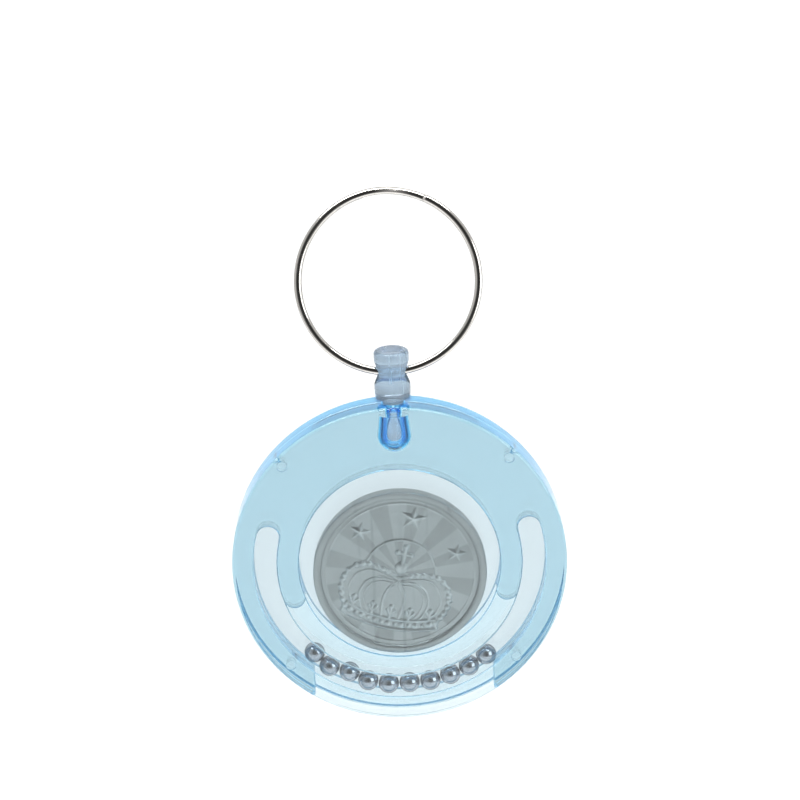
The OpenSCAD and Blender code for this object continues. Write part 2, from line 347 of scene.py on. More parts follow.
# On the coin, a tone is a factor on its colour. The rays end at a share of its width. Where there are none, the
# coin is PLAIN_SHARE of the way between their two tones.
HALO_RADIUS = 5.1
RAY_PAIRS = 12
RAY_END = 0.43
RAY_EDGE = (0.22, 0.28)
RAY_TONES = (0.81, 1.13)
RAY_ROUGHNESS = (0.34, 0.42)
PLAIN_SHARE = 0.6
# Raised relief is painted lighter by these, partly as worn high points and partly as a painted highlight
HIGH_TONE = 1.7
HIGH_SHARE = 0.6
# Painted shade: the foot of the rim's inner wall is darkened by this
FOOT_TONE = 0.75
MARK_TONE = 0.8
GRAIN_SCALE = 9000


def coin_rays(tree):
    """Mask of the rays on the coin's open field, swapped inside the halo, with a middle tone elsewhere."""
    face = tree.nodes.new("ShaderNodeUVMap")
    face.uv_map = "face"
    centred = add_node(tree, "ShaderNodeMapping", Vector=(face, "UV"), Location=(-0.5, -0.5, 0))
    around = add_node(tree, "ShaderNodeTexGradient", Vector=(centred, "Vector"))
    around.gradient_type = "RADIAL"
    reach = tree.nodes.new("ShaderNodeVectorMath")
    reach.operation = "LENGTH"
    feed(tree, (centred, "Vector"), reach, 0)
    turns = maths(tree, "MULTIPLY", (around, "Fac"), RAY_PAIRS)
    within_halo = maths(tree, "LESS_THAN", (reach, "Value"), HALO_RADIUS * MM / COIN_RADIUS / 2)
    swap = maths(tree, "MULTIPLY", within_halo, 0.5)
    wave = maths(tree, "PINGPONG", maths(tree, "ADD", turns, swap), 0.5)
    edge = span(tree, wave, *RAY_EDGE)
    field = maths(tree, "LESS_THAN", (reach, "Value"), RAY_END)
    open_field = maths(tree, "SUBTRACT", field, attribute(tree, "crown"))
    open_field[0].use_clamp = True
    rays = add_node(tree, "ShaderNodeMix", A=PLAIN_SHARE, B=edge, Factor=open_field)
    return rays, "Result"


def coin_metal(colour):
    """Satin struck metal: frosted and smoother rays in turn, an ornament painted lighter as worn high points
    and as a painted highlight, and painted shade at the foot of the rim wall.
    """
    material, tree, shader = new_material("coin metal")
    shader.inputs["Metallic"].default_value = 1
    rays = coin_rays(tree)
    frosted, smoother = (shade(colour, factor) for factor in RAY_TONES)
    field = mix(tree, frosted, smoother, rays)
    # Raised parts lighter: worn high points and a painted highlight
    wear_and_highlight = maths(tree, "MULTIPLY", attribute(tree, "relief"), HIGH_SHARE)
    struck = mix(tree, field, shade(colour, HIGH_TONE), wear_and_highlight)
    # Painted shade at the foot of the rim wall
    foot_shade = mix(tree, struck, shade(WHITE, FOOT_TONE), attribute(tree, "foot"), "MULTIPLY")
    marks = worn(tree, scratch_scale=700, mark_scale=120)[0]
    feed(tree, mix(tree, foot_shade, shade(WHITE, MARK_TONE), marks, "MULTIPLY"), shader, "Base Color")
    feed(tree, span(tree, rays, 0, 1, *RAY_ROUGHNESS), shader, "Roughness")
    own = tree.nodes.new("ShaderNodeTexCoord")
    grain = add_node(tree, "ShaderNodeTexNoise", Vector=(own, "Object"), Scale=GRAIN_SCALE, Detail=2)
    bump(tree, shader, (grain, "Fac"), distance=0.01 * MM, strength=0.4)
    return material


def dress(obj, material):
    obj.data.materials.clear()
    obj.data.materials.append(material)


def smooth(obj):
    """Smooth shading all over."""
    obj.data.polygons.foreach_set("use_smooth", [True] * len(obj.data.polygons))
    obj.data.update()


def skin(rows, count):
    """Faces of a closed solid through rows of points, with count points in each."""
    faces = [tuple(reversed(range(count)))]
    for low in range(0, (rows - 1) * count, count):
        for i in range(count):
            j = (i + 1) % count
            faces.append((low + i, low + j, low + count + j, low + count + i))
    top = (rows - 1) * count
    faces.append(tuple(range(top, top + count)))
    return faces


def new_piece(name, points, faces):
    """A mesh object in the row frame."""
    mesh = bpy.data.meshes.new(name)
    mesh.from_pydata([tuple(p) for p in points], [], faces)
    mesh.validate()
    obj = bpy.data.objects.new(name, mesh)
    bpy.context.scene.collection.objects.link(obj)
    return obj


# Clear shells
#
# A half is drawn lying down: x across, y up the disc and z the depth from the joint face.

CUT_PAST = 1 * MM
ARC_STEP = math.radians(1.5)
SMALL_STEP = math.radians(10)
RIM_STEP = math.radians(1)
SOCKET_STEP = math.radians(6)
FULL_TURN = 2 * math.pi

# A face counts as a flat one where its normal leans this little, as a shallow floor within this share of its
# depth, and as the rim past this share of the edge
FLAT_LEAN = 0.9
FLOOR_SHARE = 0.05
RIM_SHARE = 0.3


def arc(radius, start, end, centre=(0, 0), step=ARC_STEP, count=None):
    """Points on an arc, with angles counted from the bottom to the right."""
    count = count or max(1, math.ceil(abs(end - start) / step))
    angles = [start + (end - start) * i / count for i in range(count + 1)]
    return [(centre[0] + radius * math.sin(a), centre[1] - radius * math.cos(a)) for a in angles]


def quarter(steps):
    """Even angles from 0 to a right angle."""
    return [math.pi / 2 * i / steps for i in range(steps + 1)]


def from_bottom(radius, angle):
    """One point, with its angle counted from the bottom to the right."""
    return (radius * math.sin(angle), -radius * math.cos(angle))


def circle_outline(radius, centre=(0, 0), step=ARC_STEP):
    return arc(radius, 0, FULL_TURN, centre, step)[:-1]


def groove_outline(sizes, inset):
    """U-shaped groove for the balls, with two arms that end in half circles."""
    middle = (sizes.groove_in + sizes.groove_out) / 2
    half_width = (sizes.groove_out - sizes.groove_in) / 2
    end = sizes.groove_reach - math.asin(half_width / middle)
    bend = half_width - inset
    return (arc(middle + bend, -end, end)
            + arc(bend, end, end + math.pi, from_bottom(middle, end), SMALL_STEP)[1:-1]
            + arc(middle - bend, end, -end)
            + arc(bend, -end - math.pi, -end, from_bottom(middle, -end), SMALL_STEP)[1:-1])


def threshold_outline(sizes, inset):
    """Low bridge between the pocket and the groove, hollowed by the round tips of the two fingers."""
    overlap = 0.5 * MM
    middle = (sizes.pocket + sizes.groove_in) / 2
    bend = (sizes.groove_in - sizes.pocket) / 2 + inset
    end = sizes.finger_reach + math.asin((sizes.groove_in - sizes.pocket) / 2 / middle)
    return (arc(sizes.groove_in + overlap, -end, end)
            + arc(bend, end, end - math.pi, from_bottom(middle, end), SMALL_STEP)
            + arc(sizes.pocket - overlap, end, -end)
            + arc(bend, math.pi - end, -end, from_bottom(middle, -end), SMALL_STEP))


def exit_outline(sizes, inset):
    """Straight exit from the groove out through the rim."""
    half_width = sizes.exit_width / 2 - inset
    top = (sizes.groove_in + sizes.groove_out) / 2
    bottom = -DISC_RADIUS - CUT_PAST
    side = math.asin(half_width / top)
    return [(-half_width, bottom), (half_width, bottom)] + arc(top, side, -side, count=60)


def loft(name, levels):
    """A closed solid through outlines at rising heights: levels is a list of (height, outline)."""
    points = [(x, y, height) for height, outline in levels for x, y in outline]
    return new_piece(name, points, skin(len(levels), len(levels[0][1])))


def rounded_levels(outline_at, depth, radius, steps=4):
    """Levels of a cutter whose floor edge is rounded."""
    levels = [(-CUT_PAST, outline_at(0))]
    for angle in quarter(steps):
        inset = radius * (1 - math.cos(angle))
        levels.append((depth - radius + radius * math.sin(angle), outline_at(inset)))
    return levels


def half_blank(name, sizes):
    """The uncut half: a round plate with a fine chamfer at the joint and a rounded outer edge."""
    gap, chamfer, edge = sizes.joint_gap / 2, sizes.joint_chamfer, sizes.edge_radius
    face = DISC_THICKNESS / 2
    rings = [(gap, DISC_RADIUS - chamfer), (gap + chamfer, DISC_RADIUS)]
    for angle in quarter(5):
        rings.append((face - edge + edge * math.sin(angle), DISC_RADIUS - edge * (1 - math.cos(angle))))
    return loft(name, [(height, circle_outline(radius, step=RIM_STEP)) for height, radius in rings])


def socket_cutter(sizes):
    """Round cavity for the plug's bulb: mouth, lip, neck and bowl, turned about the disc's upright axis."""
    tiny = 0.02 * MM
    outline = []
    for angle in quarter(12):
        radius = max(tiny, sizes.cavity * math.sin(angle))
        outline.append((radius, sizes.cavity_height - sizes.cavity * math.cos(angle)))
    outline += [(sizes.neck, sizes.lip_bottom), (sizes.lip, sizes.lip_bottom), (sizes.lip, sizes.lip_top),
                (sizes.mouth, sizes.lip_top), (sizes.mouth, DISC_RADIUS + CUT_PAST)]
    levels = [(height, circle_outline(radius, step=SOCKET_STEP)) for radius, height in outline]
    socket = loft("socket cutter", levels)
    along_disc = Matrix(((1, 0, 0, 0), (0, 0, 1, 0), (0, -1, 0, 0), (0, 0, 0, 1)))
    socket.data.transform(along_disc)
    return socket


def post_places(sizes):
    """The four posts, in two mirrored pairs."""
    angles = (sizes.post_low, sizes.post_high)
    return [from_bottom(sizes.post_orbit, side * angle) for side in (-1, 1) for angle in angles]


def carve(base, cutters, operation="DIFFERENCE"):
    """Cuts or joins other solids with base, leaves base with the result and deletes them."""
    for cutter in cutters:
        cut = base.modifiers.new(cutter.name, "BOOLEAN")
        cut.object = cutter
        cut.operation = operation
        cut.solver = "EXACT"
    bpy.context.view_layer.update()
    carved = bpy.data.meshes.new_from_object(base.evaluated_get(bpy.context.evaluated_depsgraph_get()))
    base.modifiers.clear()
    base.data = carved
    for cutter in cutters:
        bpy.data.objects.remove(cutter)


def crisp_edges(obj, angle=math.radians(28)):
    """Smooth shading that stays flat on flat faces and breaks at real edges."""
    smooth(obj)
    obj.data.set_sharp_from_angle(angle=angle)
    even = obj.modifiers.new("even normals", "WEIGHTED_NORMAL")
    even.keep_sharp = True
    even.weight = 100


def pocket_outline(sizes, inset):
    """Round pocket for the coin."""
    return circle_outline(sizes.pocket - inset)


def cavity_cutters(sizes):
    """Everything that is cut out of both halves alike."""
    cuts = (("pocket cutter", pocket_outline, sizes.deep_cut),
            ("groove cutter", groove_outline, sizes.deep_cut),
            ("threshold cutter", threshold_outline, sizes.shallow_cut),
            ("exit cutter", exit_outline, sizes.shallow_cut))
    cutters = []
    for name, outline, depth in cuts:
        cutters.append(loft(name, rounded_levels(partial(outline, sizes), depth, sizes.floor_fillet)))
    return [*cutters, socket_cutter(sizes)]


def painted_light_colour(face, sizes, colours):
    """The painted light for this face: a lighter painted light on the shallow floors, a painted highlight on
    the rounded edges, a blue painted light in the rim and round the socket, a darker painted shade on the cut
    walls, and the plain tone on the other flat faces.
    """
    centre = face.center
    if abs(face.normal.z) >= FLAT_LEAN:
        at_floor = abs(centre.z - sizes.shallow_cut) < FLOOR_SHARE * sizes.shallow_cut
        return colours.floor_light if at_floor else colours.face
    if centre.z > DISC_THICKNESS / 2 - sizes.edge_radius:
        return colours.edge
    if math.hypot(centre.x, centre.y) > DISC_RADIUS - RIM_SHARE * sizes.edge_radius:
        return colours.rim
    if abs(centre.x) < sizes.cavity and centre.y > sizes.cavity_height - sizes.cavity:
        return colours.socket
    return colours.wall_shade


def clear_half(name, sizes, colours, front):
    """One half, with holes for the posts in the front one and the posts on the rear one."""
    half = half_blank(name, sizes)
    carve(half, cavity_cutters(sizes))
    room = sizes.post_room
    posts = []
    for place in post_places(sizes):
        radius = sizes.post_radius + (room if front else 0)
        reach = (-CUT_PAST, sizes.post_height + room) if front else (-sizes.post_height, CUT_PAST)
        posts.append(loft("post", [(z, circle_outline(radius, place, SMALL_STEP)) for z in reach]))
    carve(half, posts, "DIFFERENCE" if front else "UNION")
    # Each face takes its painted light: lighter, bluer or darker tints that stand in for light in the plastic
    painted_light = half.data.attributes.new("painted_light", "FLOAT_COLOR", "FACE")
    for face, shown in zip(half.data.polygons, painted_light.data):
        shown.color = (*painted_light_colour(face, sizes, colours), 1)
    depth = -1 if front else 1
    upright = Matrix(((1, 0, 0, 0), (0, 0, depth, DISC_MIDDLE.y), (0, 1, 0, DISC_MIDDLE.z), (0, 0, 0, 1)))
    half.data.transform(upright)
    if not front:
        half.data.flip_normals()
    crisp_edges(half)
    return half


# Swivel plug
#
# Its outline runs up from the bulb's foot as (radius, height above the disc's centre), in millimetres.
# The barrel and the head are (radius, height of the widest place, radius of the bend, lower end, upper end).

PLUG_SPOKES = 96
PLUG_SHARP = math.radians(40)
BULB_HEIGHT = 19.7
BULB_RADIUS = 1.7
COLLAR_HEIGHT = 23.18
# How far above and below the hole the paler painted light reaches
PLUG_LIGHT_REACH = 2.2
STEM = ((1.3, 21.4), (0.93, 22.1), (0.93, 23.16), (0.97, 23.2),
        (1.44, 23.2), (1.5, 23.26), (1.5, 24.26), (1.56, 24.32))
BARREL = (2.56, 26, 13.5, 25.0, 28.0)
HEAD = (2.48, 31, 39, 28.4, 31.2)
BARREL_ROUND = 0.4
HEAD_ROUND = 0.5
EYE_RADIUS = 1.25
EYE_MOUTH = 1.8
EYE_WAIST = 1.1
EYE_REACH = 4
EYE_STEP = math.radians(5)


def swell(radius, middle, bend, low, high, steps=10):
    """One swollen part of the plug, on a large bend."""
    heights = [low + (high - low) * i / steps for i in range(steps + 1)]
    return [(radius - bend + math.sqrt(bend ** 2 - (height - middle) ** 2), height) for height in heights]


def plug_outline():
    """The whole outline, from the bulb to the rounded top."""
    outline = []
    for angle in quarter(10)[1:]:
        outline.append((BULB_RADIUS * math.sin(angle), BULB_HEIGHT - BULB_RADIUS * math.cos(angle)))
    outline += STEM
    barrel, head = swell(*BARREL), swell(*HEAD)
    edge, foot = barrel[0]
    for angle in quarter(6)[1:-1]:
        outline.append((edge - BARREL_ROUND * (1 - math.sin(angle)), foot - BARREL_ROUND * math.cos(angle)))
    outline += [*barrel, *head]
    edge, top = head[-1]
    for angle in quarter(6)[1:]:
        outline.append((edge - HEAD_ROUND * (1 - math.cos(angle)), top + HEAD_ROUND * math.sin(angle)))
    return outline


def eye_cutter():
    """The hole for the ring: narrow in its middle, and opening out to both sides."""
    steepness = (EYE_MOUTH - EYE_RADIUS) / (HEAD[0] - EYE_WAIST)
    widest = EYE_RADIUS + steepness * (EYE_REACH - EYE_WAIST)
    outline = [(-EYE_REACH, widest), (-EYE_WAIST, EYE_RADIUS), (EYE_WAIST, EYE_RADIUS), (EYE_REACH, widest)]
    levels = [(across * MM, circle_outline(radius * MM, step=EYE_STEP)) for across, radius in outline]
    cutter = loft("eye cutter", levels)
    cutter.data.transform(Matrix.Translation(EYE) @ Matrix.Rotation(math.pi / 2, 4, "Y"))
    return cutter


def plug_light_share(height):
    """How much of the paler painted light the plug gets at a height: all of it below the collar, and more
    towards the hole.
    """
    if height < DISC_MIDDLE.z + COLLAR_HEIGHT * MM:
        return 1.0
    return max(0.0, 1 - abs(height - EYE.z) / (PLUG_LIGHT_REACH * MM))


def swivel_plug():
    """The plug, with where it is painted paler as painted light marked."""
    levels = [(height * MM, circle_outline(radius * MM, step=FULL_TURN / PLUG_SPOKES))
              for radius, height in plug_outline()]
    plug = loft("swivel_plug", levels)
    plug.data.transform(Matrix.Translation(DISC_MIDDLE))
    carve(plug, [eye_cutter()])
    painted_plug_light = plug.data.attributes.new("painted_plug_light", "FLOAT", "POINT")
    painted_plug_light.data.foreach_set("value", [plug_light_share(vertex.co.z) for vertex in plug.data.vertices])
    crisp_edges(plug, PLUG_SHARP)
    return plug


# Split ring

RING_STEP = math.radians(2)
RING_TRAVEL = math.radians(680)
CROSS_FROM = math.radians(325)
CROSS_TO = math.radians(355)
WIRE_SIDES = 20
WIRE_POWER = 2.3

# Each end of the wire is rounded by sections at (travel, share of the wire's own size)
WIRE_START = ((0, 0.55), (0.0021, 0.85))
WIRE_END = ((RING_TRAVEL, 0.85), (RING_TRAVEL + 0.021, 0.55))


def wire_outline(width, thickness):
    """The flattened wire's section, a rounded box, as points (across, along the ring's axis)."""
    outline = []
    for side in range(WIRE_SIDES):
        angle = FULL_TURN * side / WIRE_SIDES
        c, s = math.cos(angle), math.sin(angle)
        reach = (abs(c) ** WIRE_POWER + abs(s) ** WIRE_POWER) ** (-1 / WIRE_POWER)
        outline.append((width / 2 * reach * c, thickness / 2 * reach * s))
    return outline


def crossed(travel):
    """How far the wire has crossed from the front turn to the rear one, from -1 to 1."""
    share = min(max((travel - CROSS_FROM) / (CROSS_TO - CROSS_FROM), 0), 1)
    return -math.cos(math.pi * share)


def split_ring(sizes):
    """One unbroken wire in two turns, with rounded ends."""
    middle = (sizes.ring_outer - sizes.wire_width) / 2
    offset = (sizes.wire_thickness + sizes.turn_gap) / 2
    outline = wire_outline(sizes.wire_width, sizes.wire_thickness)
    place = Matrix.Translation(EYE) @ Matrix.Rotation(-sizes.ring_lean, 4, "X")
    travels = [(i * RING_STEP, 1) for i in range(1, round(RING_TRAVEL / RING_STEP) + 1)]
    travels = [*WIRE_START, *travels, *WIRE_END]
    points = []
    for travel, scale in travels:
        angle = sizes.ring_start + travel
        for across, along in outline:
            radius = middle + scale * across
            points.append(place @ Vector((radius * math.sin(angle), offset * crossed(travel) + scale * along,
                                          middle + radius * math.cos(angle))))
    ring = new_piece("split_ring", points, skin(len(travels), WIRE_SIDES))
    smooth(ring)
    return ring


# Coin
#
# The ornament is drawn in millimetres in the coin's own frame: u to the right and v up.
# A rise is a share of the relief's height.

COIN_SPOKES = 480
FIELD_RINGS = 116
FIELD_START = 0.08 * MM
FIELD_MARGIN = 0.1 * MM
COIN_BEND = 0.14 * MM

# The rim's inner wall as (distance outwards from its foot in millimetres, share of the rise)
RIM_WALL = ((-0.05, 0), (0, 0.1), (0.05, 0.85), (0.12, 1))
FOOT_REACH = 0.13 * MM

# Each arch of the crown's right half as (width, corners)
CROWN_ARCHES = (
    (0.42, ((0.5, -0.6), (1.6, -0.2), (3.2, 0.25), (5.2, 0.4),
            (7.1, -0.8), (7.9, -3), (7.6, -4.8), (6.7, -6.6))),
    (0.34, ((0.6, -1.4), (2.4, -1.2), (4.2, -2), (5, -3.7), (4.8, -5.4), (4, -7))),
    (0.34, ((0.2, -1.4), (1.2, -2.8), (1.55, -4.6), (1.3, -7.3))),
)
CROWN_RISE = 0.22
ARCH_RISE = 0.7

# Inside each arch runs a finer fold line, drawn in towards the crown's heart
CROWN_HEART = np.array((0.6, -4.6))
FOLD_DRAWN_IN = 0.84
FOLD_WIDTH_SHARE = 0.7
FOLD_RISE = 0.5
PEARL_SPACING = 1.02
PEARL_RADIUS = 0.44

# Fleurons as (place across, height), each with a bead at its tip and two leaves
FLEURONS = ((0, 1.9), (2.75, 1.7), (5.65, 1.4))
FLEURON_RISE = 0.9
FLEURON_WIDTH = 0.42
FLEURON_BEAD = 0.4
LEAF_SPREAD = 0.55
LEAF_WIDTH = 0.45
LEAF_HEIGHTS = (0.35, 0.72)

# The band round the crown's foot, with large and small beads in turn
BAND_CENTRE = 10
BAND_EDGES = (17.3, 18.8)
BAND_REACH = math.radians(22)
BAND_STEPS = 12
BAND_RISE = 0.8
BAND_WIDTH = 0.42
BEAD_COUNT = 13
BEAD_STEP = BAND_REACH / 6.9
BEAD_RADII = (0.46, 0.3)

# The orb and the cross on the crown
ORB_HEIGHT = 0.75
ORB_RADIUS = 0.95
CROSS_BARS = (((0, 1.6), (0, 4.1)), ((-1, 3.0), (1, 3.0)))
CROSS_TIPS = ((0, 4.1), (-1, 3.0), (1, 3.0))
CROSS_RISE = 0.85
CROSS_WIDTH = 0.6
CROSS_BEAD = 0.42

# Stars as (degrees from the top, size)
STAR_ORBIT = 8.6
STARS = ((-55, 1.7), (0, 2.1), (57, 1.7))
STAR_NOTCH = 0.42
STAR_SLOPE = 0.3

# Round lines on the field as (radius, half width, rise, lowest place). The first is the halo over the crown.
ROUND_LINES = ((HALO_RADIUS, 0.16, 0.5, -0.2), (10.75, 0.14, 0.2, -11))


def smooth_path(corners, steps=7):
    """A smooth line through the corners."""
    ends = [corners[0], *corners, corners[-1]]
    path = []
    for before, start, end, after in zip(ends, ends[1:], ends[2:], ends[3:]):
        before, start, end, after = (np.array(p, float) for p in (before, start, end, after))
        for step in range(steps):
            t = step / steps
            straight = (end - before) * t
            bend = (2 * before - 5 * start + 4 * end - after) * t ** 2
            twist = (3 * start - before - 3 * end + after) * t ** 3
            path.append(0.5 * (2 * start + straight + bend + twist))
    path.append(np.array(corners[-1], float))
    return path


def distance_to(path, points):
    """How far each point is from the nearest place on a path."""
    nearest = np.full(len(points), np.inf)
    for start, end in zip(path, path[1:]):
        start, end = np.array(start, float), np.array(end, float)
        along = end - start
        share = np.clip((points - start) @ along / (along @ along), 0, 1)
        away = points - start - share[:, None] * along
        nearest = np.minimum(nearest, np.hypot(away[:, 0], away[:, 1]))
    return nearest


def ridge(path, points, width):
    """A rounded ridge along a path, from 0 to 1."""
    return np.sqrt(np.clip(1 - (distance_to(path, points) / (width / 2)) ** 2, 0, 1))


def bead(centre, points, radius):
    """A round bead, from 0 to 1."""
    return np.sqrt(np.clip(1 - np.sum((points - np.array(centre)) ** 2, axis=1) / radius ** 2, 0, 1))


def star(centre, points, size):
    """A five-pointed star that rises to a ridge along each point, from 0 to 1."""
    away = points - np.array(centre)
    angle = np.arctan2(away[:, 0], away[:, 1])
    reach = np.hypot(away[:, 0], away[:, 1])
    sector = math.pi / 5
    folded = np.abs((angle + sector) % (2 * sector) - sector)
    x, y = reach * np.cos(folded), reach * np.sin(folded)
    notch = STAR_NOTCH * size
    notch_x, notch_y = notch * math.cos(sector), notch * math.sin(sector)
    edge = math.hypot(notch_y, size - notch_x)
    inside = (notch_y * (size - x) - (size - notch_x) * y) / edge
    return np.clip(inside / (STAR_SLOPE * size), 0, 1)


def inside_path(path, points):
    """Which points lie inside a closed path."""
    inside = np.zeros(len(points), bool)
    x, y = points[:, 0], points[:, 1]
    for (ax, ay), (bx, by) in zip(path, path[1:] + path[:1]):
        if ay != by:
            inside ^= ((ay > y) != (by > y)) & (x < (bx - ax) * (y - ay) / (by - ay) + ax)
    return inside


def mirrored(path):
    return [(-u, v) for u, v in path]


def band_point(radius, angle):
    """A point on the crown's curved band."""
    return (radius * math.sin(angle), BAND_CENTRE - radius * math.cos(angle))


def band_line(radius):
    """A line along the whole band, from left to right."""
    return [band_point(radius, BAND_REACH * i / BAND_STEPS) for i in range(-BAND_STEPS, BAND_STEPS + 1)]


def pearls_along(path):
    """Evenly spaced places along a path."""
    places = []
    walked = 0
    for start, end in zip(path, path[1:]):
        walked += math.dist(start, end)
        if walked >= PEARL_SPACING:
            walked -= PEARL_SPACING
            places.append(end)
    return places


def crown_lines():
    """The crown's raised lines as (path, width, rise), and its beads as (centre, radius)."""
    lines = []
    beads = []
    for width, corners in CROWN_ARCHES:
        arch = smooth_path(corners)
        fold = [CROWN_HEART + FOLD_DRAWN_IN * (point - CROWN_HEART) for point in arch]
        for path in (arch, mirrored(arch)):
            lines.append((path, width, ARCH_RISE))
        for path in (fold, mirrored(fold)):
            lines.append((path, FOLD_WIDTH_SHARE * width, FOLD_RISE))
    for u, v in pearls_along(smooth_path(CROWN_ARCHES[0][1])):
        beads += [((-u, v), PEARL_RADIUS), ((u, v), PEARL_RADIUS)]
    for across, tall in FLEURONS:
        foot = BAND_CENTRE - math.sqrt(BAND_EDGES[0] ** 2 - across ** 2)
        root, fork = (foot + share * tall for share in LEAF_HEIGHTS)
        for u in (-across, across):
            tip = (u, foot + tall)
            lines.append((((u, foot), tip), FLEURON_WIDTH, FLEURON_RISE))
            beads.append((tip, FLEURON_BEAD))
            for leaf in (-LEAF_SPREAD, LEAF_SPREAD):
                lines.append((((u, root), (u + leaf, fork)), LEAF_WIDTH, FLEURON_RISE))
    for radius in BAND_EDGES:
        lines.append((band_line(radius), BAND_WIDTH, BAND_RISE))
    for end in (-BAND_REACH, BAND_REACH):
        lines.append(([band_point(radius, end) for radius in BAND_EDGES], BAND_WIDTH, BAND_RISE))
    for number in range(BEAD_COUNT):
        centre = band_point(sum(BAND_EDGES) / 2, BEAD_STEP * (number - BEAD_COUNT // 2))
        beads.append((centre, BEAD_RADII[number % 2]))
    beads.append(((0, ORB_HEIGHT), ORB_RADIUS))
    lines += [(bar, CROSS_WIDTH, CROSS_RISE) for bar in CROSS_BARS]
    beads += [(tip, CROSS_BEAD) for tip in CROSS_TIPS]
    return lines, beads


def ornament(points):
    """Height of the struck ornament at each point, as a share of the relief, and what the crown covers."""
    outer = smooth_path(CROWN_ARCHES[0][1])
    outline = outer + band_line(BAND_EDGES[1])[::-1] + mirrored(outer)[::-1]
    crown = inside_path([tuple(p) for p in outline], points)
    height = np.where(crown, CROWN_RISE, 0)
    reach = np.hypot(points[:, 0], points[:, 1])
    for radius, half_width, rise, lowest in ROUND_LINES:
        line = rise * np.sqrt(np.clip(1 - np.abs(reach - radius) / half_width, 0, 1))
        hidden = crown | (points[:, 1] < lowest)
        height = np.maximum(height, np.where(hidden, 0, line))
    lines, beads = crown_lines()
    for path, width, rise in lines:
        height = np.maximum(height, rise * ridge(path, points, width))
    for centre, radius in beads:
        height = np.maximum(height, bead(centre, points, radius))
    for degrees, size in STARS:
        angle = math.radians(degrees)
        centre = (STAR_ORBIT * math.sin(angle), STAR_ORBIT * math.cos(angle))
        height = np.maximum(height, star(centre, points, size))
    return height, crown


def coin_profile(sizes):
    """Rim and edge of one side as (radius, height above the field), from the field outwards."""
    rise = sizes.coin_sunk
    inner = COIN_RADIUS - sizes.coin_rim
    profile = [(inner + out * MM, share * rise) for out, share in RIM_WALL]
    profile.append((inner + 0.5 * sizes.coin_rim, rise))
    for angle in quarter(4):
        profile.append((COIN_RADIUS - COIN_BEND * (1 - math.sin(angle)),
                        rise - COIN_BEND * (1 - math.cos(angle))))
    return profile


def coin_sheet(sizes, facing):
    """One side from its middle out, as a row of x, y, z, u, v, crown, relief and foot for each vertex."""
    field = COIN_THICKNESS / 2 - sizes.coin_sunk
    rim = coin_profile(sizes)
    radii = np.linspace(FIELD_START, rim[0][0] - FIELD_MARGIN, FIELD_RINGS)
    side = [(r, field) for r in radii] + [(r, field + h) for r, h in rim]
    angles = FULL_TURN * np.arange(COIN_SPOKES) / COIN_SPOKES
    radius, height = (np.repeat(values, COIN_SPOKES) for values in zip(*side))
    x = radius * np.tile(np.sin(angles), len(side))
    z = radius * np.tile(np.cos(angles), len(side))
    across, up = facing * x, z
    cos, sin = math.cos(sizes.coin_turn), math.sin(sizes.coin_turn)
    own = np.column_stack((across * cos - up * sin, across * sin + up * cos)) / MM
    share, crown = ornament(own)
    raised = np.where(radius < rim[0][0], share, 0)
    y = COIN_MIDDLE.y - facing * (height + raised * sizes.relief_height)
    # Where painted shade falls, at the foot of the rim's inner wall
    foot = np.abs(radius - (COIN_RADIUS - sizes.coin_rim)) < FOOT_REACH
    return np.column_stack((COIN_MIDDLE.x + x, y, COIN_MIDDLE.z + z, own, crown, raised, foot))


def struck_coin(sizes):
    """One closed sheet from the front's middle out over the rim and in to the rear's middle."""
    front, rear = coin_sheet(sizes, 1), coin_sheet(sizes, -1)
    rows = rear.reshape(-1, COIN_SPOKES, rear.shape[1])
    columns = np.vstack((front, rows[::-1].reshape(rear.shape)))
    points, own, crown, raised, foot = np.split(columns, (3, 5, 6, 7), axis=1)
    coin = new_piece("struck_coin", points.tolist(), skin(2 * len(rows), COIN_SPOKES))
    smooth(coin)
    corners = np.zeros(len(coin.data.loops), np.int32)
    coin.data.loops.foreach_get("vertex_index", corners)
    layer = coin.data.uv_layers.new(name="face")
    layer.data.foreach_set("uv", (own * MM / COIN_RADIUS / 2 + 0.5)[corners].ravel())
    for name, values in (("crown", crown), ("relief", raised), ("foot", foot)):
        coin.data.attributes.new(name, "FLOAT", "POINT").data.foreach_set("value", values.ravel())
    return coin


# Balls

BALL_CUTS = 13


def polished_ball(name, node):
    """A ball as an even net of squares, so that no pole catches the light."""
    low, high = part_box(node)
    centre = (low + high) / 2
    radius = (high.x - low.x) / 2
    net = bmesh.new()
    bmesh.ops.create_cube(net, size=2)
    bmesh.ops.subdivide_edges(net, edges=net.edges, cuts=BALL_CUTS, use_grid_fill=True)
    for vertex in net.verts:
        even = Vector(math.tan(c * math.pi / 4) for c in vertex.co)
        vertex.co = centre + radius * even.normalized()
    mesh = bpy.data.meshes.new(name)
    net.to_mesh(mesh)
    net.free()
    ball = bpy.data.objects.new(name, mesh)
    bpy.context.scene.collection.objects.link(ball)
    smooth(ball)
    return ball


# Stage

CAMERA_PITCH = math.radians(19.4)
CAMERA_ROLL = math.radians(-2.1)
CAMERA_YAW = math.radians(-0.2)
CAMERA_OFFSET = Vector((-0.07, 22.81, 395.4)) * MM
CAMERA_LENS = 123.5
SENSOR_WIDTH = 36
DARK_SIDE = (0, -0.93, 0.37)
ROOM_BRIGHT = 0.95
ROOM_DARK = 0.05
ROOM_FADE = (0.7, 0.98)
ROOM_TONE = 0.8
CARD_TONE = 0.9
REAR_GLOW = 0.17
FRONT_GLOW = 0.35
GLOW_FROM = 0.1
GLOW_TO = -0.1

